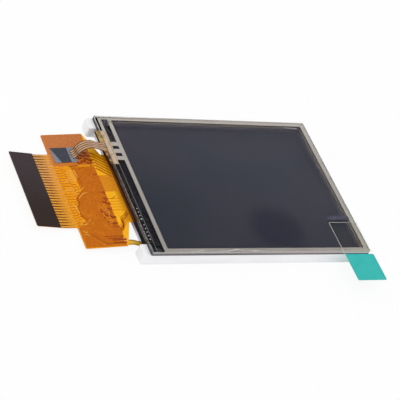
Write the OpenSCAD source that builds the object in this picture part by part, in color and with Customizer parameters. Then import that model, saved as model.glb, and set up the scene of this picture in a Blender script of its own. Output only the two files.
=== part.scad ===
// Small colour display module: backlight, liquid crystal cell, resistive touch panel and flex tails.
// The origin is the centre of the module's back face; +X runs away from the flex tail and +Z
// goes through the screen.

/* [Backlight frame] */
// Length of the moulded frame over its ears, along X
module_l = 60.26; // [58:0.02:66]
// Width of the moulded frame, along Y
module_w = 42.72; // [41:0.02:48]
// Height of the frame's walls
frame_h = 2.75; // [2.6:0.01:3.4]
// Thickness of the walls beside the glass
wall_t = 1.11; // [0.9:0.01:1.3]
// Radius of the frame's outer corners
frame_corner_r = 0.4; // [0.2:0.05:0.8]
// Width along Y of each ear beside the flex
ear_w = 3.46; // [2.8:0.02:4]
// How far the ears stand out past the low wall between them
ear_reach = 2.23; // [1.6:0.01:2.6]
// Thickness of the low wall between the ears
low_wall_t = 0.6; // [0.4:0.02:0.8]
// Width of the ledge that carries the glass on three sides
ledge_w = 0.7; // [0.4:0.02:1]
// Gap between the frame and the pieces laid in it
seat_gap = 0.15; // [0.08:0.01:0.25]

/* [Backlight stack] */
// Thickness of the reflector sheet
reflector_t = 0.1; // [0.06:0.01:0.14]
// Thickness of the light guide and height of the lamps beside it
guide_t = 0.65; // [0.5:0.01:0.8]
// Thickness of the diffuser sheet
diffuser_t = 0.07; // [0.05:0.01:0.1]
// Thickness of each prism sheet
prism_t = 0.07; // [0.05:0.01:0.1]
// Thickness of the black shading tape
shading_t = 0.06; // [0.04:0.01:0.1]
// Number of lamps along the flex side
led_count = 4; // [4]
// Length of one lamp along Y
led_l = 3.8; // [3:0.1:4.5]
// Depth of one lamp along X
led_d = 0.72; // [0.6:0.02:0.9]
// Thickness of the lamp flex
led_flex_t = 0.1; // [0.08:0.01:0.12]
// Width of the lamp flex along X
led_flex_w = 2.3; // [1.8:0.05:2.6]

/* [Liquid crystal cell] */
// Thickness of each sheet of glass
cell_glass_t = 0.5; // [0.4:0.01:0.55]
// Thickness of each polariser
polariser_t = 0.2; // [0.15:0.01:0.22]
// Inset of the polarisers from the edge of the glass
polariser_inset = 0.06; // [0.05:0.01:0.2]
// Depth along X of the bare glass ledge that holds the driver chip
chip_ledge = 3.2; // [3:0.05:3.6]
// Length of the driver chip along Y
chip_l = 16; // [12:0.5:19]
// Depth of the driver chip along X
chip_d = 1.1; // [0.8:0.05:1.2]
// Height of the driver chip
chip_h = 0.3; // [0.2:0.01:0.32]

/* [Main flex] */
// Thickness of the flex film
flex_t = 0.1; // [0.08:0.01:0.14]
// Width of the neck that is bonded to the glass
neck_w = 20.8; // [18:0.1:24]
// Depth along X of the bond to the glass
bond_d = 1.05; // [0.8:0.05:1.2]
// Width of the broad part
broad_w = 34.6; // [32:0.1:38]
// Length of the broad part along X
broad_l = 10.1; // [9:0.1:12]
// Distance from the low wall to the broad part
neck_l = 4.2; // [3.8:0.05:5]
// Film left bare on each side of the tail's conductors
tail_edge = 0.115; // [0.05:0.005:0.3]
// Length of the tail from the broad part to its free end
tail_l = 9.9; // [9:0.1:11]
// Length of the stiffener on the end of the tail
stiffener_l = 5.8; // [4.5:0.1:6.2]
// Thickness of the stiffener
stiffener_t = 0.2; // [0.12:0.01:0.25]
// Angle at which the broad part droops
droop = 5; // [3:0.1:5.2]
// Angle at which the end of the tail rises
rise = 5.5; // [2:0.1:7]
// Number of conductors in the tail
conductor_count = 28; // [20:1:36]
// Distance from one conductor to the next
conductor_pitch = 0.8; // [0.6:0.01:0.9]
// Width of one conductor
conductor_w = 0.47; // [0.3:0.01:0.5]
// Thickness of the copper layers
copper_t = 0.02; // [0.015:0.005:0.03]
// Length of the bare contacts under the end of the tail
contact_l = 3.5; // [2.5:0.1:4]
// Number of chip capacitors under the broad part
capacitor_count = 5; // [5]

/* [Touch panel] */
// Inset of the panel from the frame's long sides
touch_side_inset = 0.11; // [0:0.01:0.4]
// Inset of the panel from the frame's edge away from the flex
touch_inset = 0; // [0:0.02:0.3]
// Inset of the panel from the tips of the frame's ears
touch_flex_inset = 1.76; // [1.5:0.02:2]
// Thickness of the panel's glass
touch_glass_t = 0.65; // [0.5:0.01:1.1]
// Thickness of the adhesive ring between glass and film, and of the touch tail
spacer_t = 0.1; // [0.08:0.01:0.14]
// Thickness of the silver print
print_t = 0.02; // [0.015:0.005:0.03]
// Thickness of the touch film
touch_film_t = 0.18; // [0.12:0.01:0.25]
// Radius of the panel's corners
touch_corner_r = 0.3; // [0.1:0.05:0.6]
// Width of the printed border on the edge away from the flex
border_right = 1.26; // [1.1:0.02:1.5]
// Width of the printed border on the front edge
border_front = 1.36; // [1.2:0.02:1.6]
// Width of the printed border on the back edge
border_back = 1.16; // [0.9:0.02:1.3]
// Width of the printed border on the flex edge
border_left = 4.27; // [4.1:0.01:4.3]
// Width of the silver line beside the window on the flex edge
bus_w = 1; // [0.8:0.02:1.1]

/* [Touch tail] */
// Width of the touch tail
touch_tail_w = 2.6; // [2.2:0.05:3]
// Distance from the panel's back edge to the middle of the touch tail
touch_tail_inset = 9.65; // [9:0.05:10.5]
// How far the tail's bonded end stands out of the panel
seal_out = 1; // [0.6:0.05:1.2]
// Length along Y of the tail's bonded end
seal_l = 10.65; // [8:0.05:12]
// Depth along X of the bonded end inside the panel
seal_d = 1.2; // [0.8:0.05:1.2]
// Angle at which the tail runs forward as it leaves
touch_tail_skew = 6.5; // [4:0.1:8]
// Height of the tail's arch above the top of the panel
arch_h = 0.8; // [0.5:0.05:1.4]
// Distance along X from the panel to the top of the arch
arch_reach = 4.8; // [4:0.1:5.4]
// Width of one conductor of the touch tail
touch_wire_w = 0.28; // [0.2:0.01:0.4]
// Distance from one conductor of the touch tail to the next
touch_wire_pitch = 0.58; // [0.5:0.01:0.65]
// Number of conductors in the touch tail
touch_wire_count = 4; // [4]
// Length along X of the heat seal patch on the broad part
patch_l = 5.6; // [5:0.1:6]
// Width along Y of the heat seal patch
patch_w = 4.6; // [4:0.1:5.2]
// Thickness of the heat seal patch
patch_t = 0.12; // [0.08:0.01:0.18]
// Distance along X from the broad part's edge to the patch
patch_inset = 3.55; // [3.2:0.05:4]

/* [Protective film] */
// Thickness of the protective film
film_t = 0.05; // [0.03:0.005:0.08]
// Thickness of the clear pull tape
tape_t = 0.05; // [0.03:0.005:0.08]
// Thickness of the coloured pull tab
tab_t = 0.06; // [0.04:0.01:0.1]
// Width of the pull tab along X
tab_w = 8.1; // [6:0.1:12]
// Length of the coloured tab
tab_l = 8; // [5:0.1:14]
// Length of the clear tape on the film
tape_grip = 9.1; // [6:0.1:14]
// Gap from the panel's edge to the coloured tab
tab_gap = 0.95; // [0.4:0.05:2]
// How far the tab stands past the panel's side
tab_overhang = 0.27; // [0:0.01:0.6]

/* [Hidden] */

// Extra length of a cutting shape past the surface that it cuts
cut = 1;

// Frame, in plan
right_x = module_l / 2;
ear_x = -module_l / 2;
side_y = module_w / 2;
low_wall_x = ear_x + ear_reach;
ear_in_y = side_y - ear_w;
pocket_left = low_wall_x + low_wall_t;
pocket_right = right_x - wall_t;
pocket_y = side_y - wall_t;
window_right = pocket_right - ledge_w;
window_y = pocket_y - ledge_w;
rebate_edge = ledge_w / 2;

// Heights of the stack, from the back face up
guide_z = reflector_t;
diffuser_z = guide_z + guide_t;
prism_lower_z = diffuser_z + diffuser_t;
prism_upper_z = prism_lower_z + prism_t;
ledge_z = prism_upper_z + prism_t;
rear_polariser_z = ledge_z + shading_t;
array_z = rear_polariser_z + polariser_t;
bond_z = array_z + cell_glass_t;
front_polariser_z = bond_z + cell_glass_t;
gasket_z = front_polariser_z + polariser_t;
touch_z = frame_h;
spacer_z = touch_z + touch_glass_t;
print_z = spacer_z + spacer_t;
touch_film_z = print_z + print_t;
panel_top_z = touch_film_z + touch_film_t;
tape_z = panel_top_z + film_t;

// Backlight, in plan
led_x = pocket_left + seat_gap / 2;
led_flex_right = led_x + led_flex_w;
guide_left = led_x + led_d + seat_gap / 2;
sheet_left = led_flex_right + seat_gap / 2;
led_span = 2 * (window_y - seat_gap);

// Liquid crystal cell, in plan
array_left = pocket_left + seat_gap;
glass_right = pocket_right - seat_gap;
glass_y = pocket_y - seat_gap;
cell_left = array_left + chip_ledge;
chip_x = cell_left - seat_gap - chip_d;

// Main flex, in plan
tail_w = (conductor_count - 1) * conductor_pitch + conductor_w + 2 * tail_edge;
broad_right = low_wall_x - neck_l;
broad_left = broad_right - broad_l;
tail_end = broad_left - tail_l;
stiffener_x = tail_end + stiffener_l;
neck_straight = 0.4;
shoulder_x = low_wall_x - neck_straight * neck_l;
flex_bend_out = 0.9;
flex_bend_x = low_wall_x - flex_bend_out;
flex_bond_x = array_left + bond_d;
inner_corner_r = 0.4;

// Touch panel, in plan
touch_right = right_x - touch_inset;
touch_left = ear_x + touch_flex_inset;
touch_y = side_y - touch_side_inset;
touch_w = 2 * touch_y;
view_left = touch_left + border_left;
view_right = touch_right - border_right;
view_front = border_front - touch_y;
view_back = touch_y - border_back;
print_edge = 0.05;
bus_x = view_left - bus_w;
// Column of bare patches between the two silver lines, and the bare strip along the outer edge
column_w = 1.62;
column_x = bus_x - column_w;
column_line_w = 0.3;
outer_strip_x = column_x - column_line_w;
patch_step = 2.25;
patch_h = 1;
long_patch_h = 7.35;
first_patch_out = 0.18;
first_patch_y = view_back + first_patch_out;
strip_gap = 1.2;
strip_top_y = first_patch_y - long_patch_h - 2 * patch_step - strip_gap;

// Bonded end of the touch tail, inside the panel
touch_tail_y = touch_y - touch_tail_inset;
seal_inset = 3.58;
seal_back = view_back - seal_inset;
seal_front = seal_back - seal_l;
seal_x = touch_left + print_edge;
seal_gap = 0.03;

// Heights along the top of the main flex, from the bond to the free end
bend_steps = 4;
tail_bend_steps = 8;
bend_l = 0.7;
flex_top_z = bond_z + flex_t;
droop_start = flex_bend_x - bend_l;
droop_start_z = flex_top_z - bend_l * tan(droop) / 2;
tail_bend_z = droop_start_z - (droop_start - broad_left) * tan(droop);
tail_bend_l = tail_l - stiffener_l;
tail_bend_fall = tail_bend_l * (tan(rise) - tan(droop)) / 2;
function blend_fall(s, length, from, to) = length * (s * from + s * s * (to - from) / 2);
flex_line = concat(
    [[flex_bond_x, flex_top_z], [flex_bend_x, flex_top_z]],
    [for (i = [1 : bend_steps]) let (s = i / bend_steps)
        [flex_bend_x - s * bend_l, flex_top_z - blend_fall(s, bend_l, 0, tan(droop))]],
    [for (i = [0 : tail_bend_steps]) let (s = i / tail_bend_steps)
        [broad_left - s * tail_bend_l,
         tail_bend_z - blend_fall(s, tail_bend_l, tan(droop), -tan(rise))]],
    [[tail_end, tail_bend_z + tail_bend_fall + stiffener_l * tan(rise)]]
);
function flex_z(x) = lookup(x, flex_line);

// ---- Outlines ----

function unit(v) = v / norm(v);
function reversed(list) = [for (i = [len(list) - 1 : -1 : 0]) list[i]];
function box_points(x0, x1, y0, y1) = [[x0, y0], [x1, y0], [x1, y1], [x0, y1]];

// Points of a rounded corner at p, between the points before and after it
function corner_points(before, p, after, r, steps) =
    let (u = unit(before - p), v = unit(after - p),
         half = acos(u * v) / 2,
         reach = r / tan(half),
         centre = p + unit(u + v) * r / sin(half),
         a = p + u * reach - centre,
         b = p + v * reach - centre,
         swing = acos(max(-1, min(1, unit(a) * unit(b)))))
    [for (i = [0 : steps]) let (t = i / steps)
        centre + (a * sin((1 - t) * swing) + b * sin(t * swing)) / sin(swing)];

function rounded(points, r, steps = 4) =
    [for (i = [0 : len(points) - 1])
        each corner_points(points[(i + len(points) - 1) % len(points)], points[i],
                           points[(i + 1) % len(points)], r, steps)];

// Outline of a line of constant width through the given points
function side_of(points, i) =
    let (a = points[max(i - 1, 0)], b = points[i], c = points[min(i + 1, len(points) - 1)],
         u = i == 0 ? unit(c - b) : unit(b - a),
         v = i == len(points) - 1 ? u : unit(c - b),
         n = unit([-u.y - v.y, u.x + v.x]))
    n / (n * [-u.y, u.x]);
function ribbon(points, w) = concat(
    [for (i = [0 : len(points) - 1]) points[i] + side_of(points, i) * w / 2],
    [for (i = [len(points) - 1 : -1 : 0]) points[i] - side_of(points, i) * w / 2]
);

function bezier(a, b, c, d, t) =
    pow(1 - t, 3) * a + 3 * t * pow(1 - t, 2) * b + 3 * t * t * (1 - t) * c + pow(t, 3) * d;

module slab(points, z, t) {
    translate([0, 0, z]) linear_extrude(t) polygon(points);
}

module plate(x0, x1, y, z, t) {
    slab(box_points(x0, x1, -y, y), z, t);
}

// Band of film that follows a line in the XZ plane, between two heights above that line
module band(line, low, high, width) {
    translate([0, width / 2, 0]) rotate([90, 0, 0]) linear_extrude(width)
        polygon(concat([for (p = line) [p.x, p.y + high]], [for (p = reversed(line)) [p.x, p.y + low]]));
}

// Layer of the main flex with the plan shape given as children
module flex_layer(low, high) {
    intersection() {
        band(flex_line, low, high, broad_w + cut);
        linear_extrude(2 * flex_top_z) children();
    }
}

// ---- Backlight ----

led_tail_front = -16.9;
led_tail_back = -15.4;
led_tail_notch_gap = 0.2;

module backlight_frame() {
    low_wall_drop = 0.12;
    low_wall_top = bond_z - low_wall_drop;
    color("white") difference() {
        slab(rounded([
            [ear_x, -side_y], [right_x, -side_y], [right_x, side_y], [ear_x, side_y],
            [ear_x, ear_in_y], [low_wall_x, ear_in_y], [low_wall_x, -ear_in_y], [ear_x, -ear_in_y]
        ], frame_corner_r), 0, frame_h);
        // Pocket for the glass, window for the light guide, and rebate for the reflector
        slab(box_points(pocket_left, pocket_right, -pocket_y, pocket_y), ledge_z, frame_h);
        slab(box_points(pocket_left, window_right, -window_y, window_y), -cut, frame_h);
        slab(box_points(pocket_left, window_right + rebate_edge,
                        -window_y - rebate_edge, window_y + rebate_edge), -cut, cut + reflector_t);
        // The wall between the ears stays below the flex
        slab(box_points(low_wall_x - cut, pocket_left + cut, -ear_in_y, ear_in_y), low_wall_top, frame_h);
        // Way out for the lamp flex's tail
        slab(box_points(low_wall_x - cut, pocket_left + cut, led_tail_front - led_tail_notch_gap,
                        led_tail_back + led_tail_notch_gap), diffuser_z - led_tail_notch_gap, frame_h);
    }
}

module reflector_sheet() {
    color("gainsboro") slab(box_points(pocket_left + seat_gap, window_right + rebate_edge - seat_gap,
        -window_y - rebate_edge + seat_gap, window_y + rebate_edge - seat_gap), 0, reflector_t);
}

// The lamps' side of the guide has a shallow fan of notches that spreads their light
module light_guide() {
    notch_count = 24;
    notch_r = 0.25;
    color("aliceblue", 0.6) difference() {
        plate(guide_left, window_right - seat_gap, window_y - seat_gap, guide_z, guide_t);
        for (i = [1 : notch_count - 1])
            translate([guide_left - notch_r / 2, (i / notch_count - 0.5) * led_span, guide_z - cut])
                cylinder(h = guide_t + 2 * cut, r = notch_r, $fn = 24);
    }
}

module optical_sheet(z, t) {
    plate(sheet_left, window_right - seat_gap, window_y - seat_gap, z, t);
}

module diffuser_sheet() {
    color("whitesmoke") optical_sheet(diffuser_z, diffuser_t);
}

module prism_sheet_lower() {
    color("lightcyan") optical_sheet(prism_lower_z, prism_t);
}

module prism_sheet_upper() {
    color("azure") optical_sheet(prism_upper_z, prism_t);
}

// The lamp flex lies on the lamps; its narrow tail climbs to the underside of the main flex
module led_flex() {
    tail_reach = 3.3;
    join_in = 0.9;
    climb_lead = 1.2;
    climb_steps = 8;
    join_x = broad_right + join_in;
    end_x = broad_right - tail_reach;
    exit_x = low_wall_x + low_wall_t / 2;
    under = flex_t + led_flex_t;
    climb = concat(
        [[led_flex_right, diffuser_z]],
        [for (i = [0 : climb_steps])
            bezier([exit_x, diffuser_z], [exit_x - climb_lead, diffuser_z],
                   [join_x + climb_lead, flex_z(join_x) - under + climb_lead * tan(droop)],
                   [join_x, flex_z(join_x) - under], i / climb_steps)],
        [[end_x, flex_z(end_x) - under]]
    );
    color("goldenrod") intersection() {
        band(climb, 0, led_flex_t, led_span + cut);
        linear_extrude(frame_h) union() {
            polygon(box_points(led_x, led_flex_right, -led_span / 2, led_span / 2));
            polygon(box_points(end_x, led_x + cut, led_tail_front, led_tail_back));
        }
    }
}

module led(index) {
    lens_d = 0.12;
    lens_edge = 0.25;
    y = ((index - 0.5) / led_count - 0.5) * led_span;
    color("ivory") difference() {
        translate([led_x, y - led_l / 2, guide_z]) cube([led_d, led_l, guide_t]);
        translate([led_x + led_d - lens_d, y - led_l / 2 + lens_edge, guide_z + lens_edge / 2])
            cube([cut, led_l - 2 * lens_edge, guide_t - lens_edge]);
    }
}

// Black tape ring that masks the edge of the light and carries the cell
module shading_tape() {
    mask_w = 1.6;
    mask_left = cell_left + mask_w;
    color("black") difference() {
        slab(box_points(array_left, glass_right, -glass_y, glass_y), ledge_z, shading_t);
        slab(box_points(mask_left, glass_right - mask_w, -glass_y + mask_w, glass_y - mask_w),
             ledge_z - cut, shading_t + 2 * cut);
    }
}

// ---- Liquid crystal cell ----

module polariser(z) {
    slab(box_points(cell_left + polariser_inset, glass_right - polariser_inset,
                    -glass_y + polariser_inset, glass_y - polariser_inset), z, polariser_t);
}

module rear_polariser() {
    color("darkslategray") polariser(rear_polariser_z);
}

module front_polariser() {
    color([0.18, 0.19, 0.23]) polariser(front_polariser_z);
}

module array_glass() {
    color("lightsteelblue", 0.6) plate(array_left, glass_right, glass_y, array_z, cell_glass_t);
}

module colour_filter_glass() {
    color("lightslategray", 0.6) plate(cell_left, glass_right, glass_y, bond_z, cell_glass_t);
}

module driver_chip() {
    color("dimgray") translate([chip_x, -chip_l / 2, bond_z]) cube([chip_d, chip_l, chip_h]);
}

// ---- Main flex ----

flex_outline = rounded([
    [flex_bond_x, -neck_w / 2], [flex_bond_x, neck_w / 2], [shoulder_x, neck_w / 2],
    [broad_right, broad_w / 2], [broad_left, broad_w / 2], [broad_left, tail_w / 2],
    [tail_end, tail_w / 2], [tail_end, -tail_w / 2], [broad_left, -tail_w / 2],
    [broad_left, -broad_w / 2], [broad_right, -broad_w / 2], [shoulder_x, -neck_w / 2]
], inner_corner_r);

module main_flex() {
    color("darkorange") flex_layer(-flex_t, 0) polygon(flex_outline);
}

function conductor_y(i) = (i - (conductor_count - 1) / 2) * conductor_pitch;

// Row of chip capacitors near the neck
cap_pitch = 1.55;
cap_row_y = -8.3;
function cap_y(index) = cap_row_y + ((capacitor_count + 1) / 2 - index) * cap_pitch;

// Copper: its distance from the film's edges, its traces, and where it stops on the neck
copper_edge = 0.25;
trace_w = 0.18;
neck_stop = low_wall_x - flex_bend_out;

// Conductors of the tail; each goes on as a fine trace that turns in towards the middle
module tail_copper() {
    land_l = 0.35;
    fan_run = 2.6;
    fan_turn = conductor_pitch / 2;
    fan_end = 0.9;
    for (i = [0 : conductor_count - 1]) {
        y = conductor_y(i);
        inward = y < 0 ? 1 : -1;
        x = broad_left + land_l + fan_run * (1 - 2 * abs(y) / tail_w);
        polygon(box_points(stiffener_x + seat_gap, broad_left + land_l, y - conductor_w / 2,
                           y + conductor_w / 2));
        polygon(ribbon([[broad_left, y], [x, y], [x + fan_turn, y + inward * fan_turn],
                        [x + fan_turn + fan_end, y + inward * fan_turn]], trace_w));
    }
}

// Ground areas on the broad part: one at each side, and one that widens down the middle
module broad_copper() {
    upper_h = 0.21 * broad_w;
    lower_h = 0.16 * broad_w;
    core_l = 0.54 * broad_l;
    core_top = 0.2 * broad_w;
    core_step = -0.6;
    core_lead = 1.9;
    core_out = 0.6;
    core_gap = 0.2;
    land_l = 0.16 * broad_l;
    land_w = 0.55;
    land_slot = 0.14;
    dash_count = 9;
    dash_step = 0.34;
    dash_l = 0.5;
    dash_w = 0.14;
    dash_in = 1.8;
    x0 = broad_left + copper_edge;
    x1 = broad_right - copper_edge;
    y1 = broad_w / 2 - copper_edge;
    core_x = x1 - core_l;
    core_end = -y1 + lower_h + core_gap;
    polygon(box_points(x0, x1, y1 - upper_h, y1));
    difference() {
        polygon(box_points(x0, x1, -y1, -y1 + lower_h));
        // Row of short bare dashes across the lower ground
        for (i = [0 : dash_count - 1]) {
            x = x0 + dash_in + i * dash_step;
            y = -y1 + lower_h - dash_in - i * dash_step;
            polygon(ribbon([[x, y - dash_l], [x + dash_l, y]], dash_w));
        }
    }
    difference() {
        polygon([
            [x1, core_top], [core_x, core_top], [core_x, core_step],
            [core_x - core_lead, core_step - core_lead],
            [core_x - core_lead, core_step - 2 * core_lead],
            [core_x - core_lead - core_out, core_step - 2 * core_lead - core_out],
            [core_x - core_lead - core_out, core_step - 4 * core_lead],
            [core_x - core_lead + core_out, core_step - 4 * core_lead - 2 * core_out],
            [core_x - core_lead + core_out, core_end], [x1, core_end]
        ]);
        // Bare rings round the lands of the chip capacitors below
        for (i = [1 : capacitor_count])
            translate([x1 - land_l - land_slot, cap_y(i) - land_w / 2 - land_slot]) difference() {
                polygon(box_points(0, land_l + land_slot, 0, land_w + 2 * land_slot));
                polygon(box_points(land_slot, land_l + cut, land_slot, land_slot + land_w));
            }
    }
}

// Ground block and traces of the neck
module neck_copper() {
    block_front = -1;
    block_back = 4;
    climb_count = 6;
    climb_pitch = 1;
    climb_y = 11.3;
    climb_fall = 3.2;
    cross_count = 5;
    cross_pitch = 0.85;
    cross_y = -3.2;
    sweep_count = 5;
    sweep_pitch = 0.42;
    sweep_y = -8.6;
    sweep_rise = 1.6;
    x0 = broad_right - copper_edge;
    polygon(box_points(x0, neck_stop, block_front, block_back));
    for (i = [0 : climb_count - 1])
        polygon(ribbon([[x0, climb_y - i * climb_pitch],
                        [neck_stop, climb_y - climb_fall - i * climb_pitch]], trace_w));
    for (i = [0 : cross_count - 1])
        polygon(ribbon([[x0, cross_y - i * cross_pitch], [neck_stop, cross_y - i * cross_pitch]], trace_w));
    for (i = [0 : sweep_count - 1])
        polygon(ribbon([[x0, sweep_y - 2 * sweep_rise - i * sweep_pitch],
                        [x0 + sweep_rise, sweep_y - sweep_rise / 2 - i * sweep_pitch],
                        [neck_stop, sweep_y + sweep_rise - i * sweep_pitch]], trace_w));
}

// Copper under the clear cover layer
module flex_copper() {
    color("gold") flex_layer(0, copper_t) intersection() {
        union() {
            tail_copper();
            broad_copper();
            neck_copper();
        }
        polygon(flex_outline);
    }
}

// Bare gold contacts under the free end
module tail_contacts() {
    color("gold") flex_layer(-flex_t - copper_t, -flex_t) union() {
        for (i = [0 : conductor_count - 1])
            polygon(box_points(tail_end + seat_gap, tail_end + seat_gap + contact_l,
                               conductor_y(i) - conductor_w / 2, conductor_y(i) + conductor_w / 2));
    }
}

module tail_stiffener() {
    color([0.22, 0.16, 0.16]) flex_layer(0, stiffener_t)
        polygon(box_points(tail_end, stiffener_x, -tail_w / 2, tail_w / 2));
}

// Ceramic body with a metal cap on each end, soldered under the broad part
module chip_capacitor(index) {
    cap_l = 1.0;
    cap_w = 0.5;
    cap_h = 0.4;
    end_l = 0.22;
    end_grow = 0.02;
    cap_inset = 1.2;
    x = broad_right - cap_inset;
    color("peru") translate([x, cap_y(index), flex_z(x) - flex_t]) rotate([0, -droop, 0]) union() {
        translate([-cap_l / 2 + end_l / 2, -cap_w / 2, -cap_h])
            cube([cap_l - end_l, cap_w, cap_h - end_grow]);
        for (side = [-1, 1])
            translate([side * (cap_l - end_l) / 2 - end_l / 2, -cap_w / 2 - end_grow, -cap_h - end_grow])
                cube([end_l, cap_w + 2 * end_grow, cap_h + end_grow]);
    }
}

// ---- Between the cell and the panel ----

cover_tape_t = 0.06;
cover_tape_out = 0.74;
cover_tape_left = low_wall_x - cover_tape_out;
cover_tape_y = ear_in_y - seat_gap;

// Black tape that drapes from the top of the chip down to the flex
module chip_cover_tape() {
    drape = 0.7;
    chip_top = bond_z + chip_h;
    color("black") band([
        [cell_left - seat_gap / 2, chip_top], [chip_x - seat_gap, chip_top],
        [min(chip_x - seat_gap - drape, flex_bond_x), flex_top_z], [cover_tape_left, flex_top_z]
    ], 0, cover_tape_t, 2 * cover_tape_y);
}

// Foam strip that holds up the panel over the flex
module ledge_foam() {
    foam_d = 1.6;
    foam_z = flex_top_z + cover_tape_t;
    color("black") slab(box_points(low_wall_x - seat_gap, low_wall_x - seat_gap + foam_d,
        -cover_tape_y, cover_tape_y), foam_z, touch_z - foam_z);
}

// Foam ring between the front polariser and the panel
module panel_gasket() {
    gasket_in = 0.27;
    x0 = cell_left + polariser_inset;
    x1 = glass_right - polariser_inset;
    y1 = glass_y - polariser_inset;
    color("black") difference() {
        slab(box_points(x0, x1, -y1, y1), gasket_z, touch_z - gasket_z);
        slab(box_points(view_left + gasket_in + polariser_inset, view_right - gasket_in,
                        view_front + gasket_in, view_back - gasket_in), gasket_z - cut, frame_h);
    }
}

// ---- Touch panel ----

panel_outline = rounded(box_points(touch_left, touch_right, -touch_y, touch_y), touch_corner_r);
seal_outline = box_points(touch_left - cut, seal_x + seal_d, seal_front, seal_back);

module touch_glass() {
    color("powderblue", 0.5) slab(panel_outline, touch_z, touch_glass_t);
}

module touch_spacer() {
    spacer_in = 0.1;
    color("gray") difference() {
        slab(panel_outline, spacer_z, spacer_t);
        slab(box_points(view_left + spacer_in, view_right - spacer_in,
                        view_front + spacer_in, view_back - spacer_in), spacer_z - cut, spacer_t + 2 * cut);
        slab(seal_outline, spacer_z - cut, spacer_t + 2 * cut);
    }
}

// Silver ink under the film: a border round the window, with bare patches along the flex side
module silver_print() {
    thin_line_w = 0.13;
    slot_in = 0.19;
    slot_w = 0.6;
    slot_up = 0.7;
    strip_end = 0.2;
    color("silver") difference() {
        slab(rounded(box_points(touch_left + print_edge, touch_right - print_edge, -touch_y + print_edge,
                                touch_y - print_edge), touch_corner_r - print_edge), print_z, print_t);
        translate([0, 0, print_z - cut]) linear_extrude(print_t + 2 * cut) union() {
            polygon(rounded(box_points(view_left, view_right, view_front, view_back), touch_corner_r));
            polygon(box_points(column_x, bus_x, first_patch_y - long_patch_h, first_patch_y));
            for (i = [0 : 1])
                polygon(box_points(column_x, bus_x,
                    first_patch_y - long_patch_h - (i + 1) * patch_step,
                    first_patch_y - long_patch_h - (i + 1) * patch_step + patch_h));
            polygon(box_points(outer_strip_x + thin_line_w, bus_x, strip_end - touch_y, strip_top_y));
            // Bare strip along the outer edge, and the bonded end of the tail
            polygon(box_points(touch_left, outer_strip_x, -touch_y, seal_front));
            polygon(box_points(touch_left, seal_x + seal_d, seal_front - cut, seal_back));
            polygon(box_points(seal_x + slot_in, seal_x + slot_in + slot_w, seal_back, view_back + slot_up));
        }
    }
}

module touch_film() {
    color("lightgray", 0.4) slab(panel_outline, touch_film_z, touch_film_t);
}

// ---- Touch tail ----

patch_right = broad_right - patch_inset;
join_in = 1.1;
foot_in = 0.3;
tail_join_x = patch_right - join_in;
tail_foot_x = patch_right - foot_in;

// Line of the tail's underside, from the panel over the arch and down to the main flex
tail_start = [seal_x + seal_d / 2, spacer_z];
arch_steps = 8;
arch_dip = 0.35;
arch_lead = 1.7;
arch_narrow = 0.8;
fall_h = 1.1;
fall_lean = 0.12;
fall_ease = 0.7;
arch_top = [touch_left - arch_reach, panel_top_z + arch_h - spacer_t];
fall = [tail_foot_x + fall_lean, flex_z(tail_foot_x) + fall_h];
landing = [tail_join_x, flex_z(tail_join_x) + patch_t];
tail_line = concat(
    [tail_start],
    [for (i = [0 : arch_steps])
        bezier([touch_left - seal_out, spacer_z], [touch_left - arch_lead, spacer_z - arch_dip],
               [arch_top.x + arch_lead, arch_top.y], arch_top, i / arch_steps)],
    [for (i = [1 : arch_steps])
        bezier(arch_top, [arch_top.x - arch_narrow * arch_lead, arch_top.y],
               [fall.x + fall_lean, fall.y + fall_h], fall, i / arch_steps)],
    [for (i = [1 : arch_steps])
        bezier(fall, [fall.x - fall_lean, fall.y - fall_ease * fall_h],
               [landing.x + fall_h / 2, landing.y + fall_h / 2 * tan(droop)], landing, i / arch_steps)]
);

// Film of even thickness along the tail's line
module tail_ribbon(low, high, y0, y1) {
    side = [for (i = [0 : len(tail_line) - 1]) -side_of(tail_line, i)];
    translate([touch_left, touch_tail_y, 0]) rotate([0, 0, touch_tail_skew]) translate([-touch_left, 0, 0])
        translate([0, y1, 0]) rotate([90, 0, 0]) linear_extrude(y1 - y0)
            polygon(concat([for (i = [0 : len(tail_line) - 1]) tail_line[i] + side[i] * low],
                           [for (i = [len(tail_line) - 1 : -1 : 0]) tail_line[i] + side[i] * high]));
}

module touch_tail() {
    seal_right = seal_x + seal_d - seal_gap;
    seal_taper = 0.55;
    full_y = touch_tail_y - touch_tail_w / 2;
    color("saddlebrown") union() {
        tail_ribbon(0, spacer_t, -touch_tail_w / 2, touch_tail_w / 2);
        // Bonded end, which stands out of the panel and narrows to the front
        slab([
            [seal_right, seal_front + seal_gap], [seal_right, seal_back - seal_gap],
            [touch_left - seal_out, seal_back - seal_gap], [touch_left - seal_out, full_y],
            [touch_left - seal_taper * seal_out, seal_front + seal_gap]
        ], spacer_z, spacer_t);
    }
}

module touch_tail_conductors() {
    color("silver") difference() {
        union() {
            for (i = [0 : touch_wire_count - 1]) {
                y = (i - (touch_wire_count - 1) / 2) * touch_wire_pitch;
                tail_ribbon(spacer_t, spacer_t + copper_t, y - touch_wire_w / 2, y + touch_wire_w / 2);
            }
        }
        // The wires stop at the panel's edge
        translate([touch_left - print_edge, -touch_y, touch_z])
            cube([border_left, touch_w, 2 * touch_glass_t]);
    }
}

// Heat seal patch that joins the touch tail to the main flex
module touch_tail_patch() {
    patch_shift = 0.9;
    patch_corner_r = 0.2;
    patch_y = touch_tail_y - patch_shift;
    color("slategray") flex_layer(copper_t, patch_t)
        polygon(rounded(box_points(patch_right - patch_l, patch_right, patch_y - patch_w / 2,
                                   patch_y + patch_w / 2), patch_corner_r));
}

// ---- Protective film and pull tab ----

tab_x = touch_right + tab_overhang - tab_w;
tab_front = -touch_y - tab_gap - tab_l;
tab_corner_r = 0.4;

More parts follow.
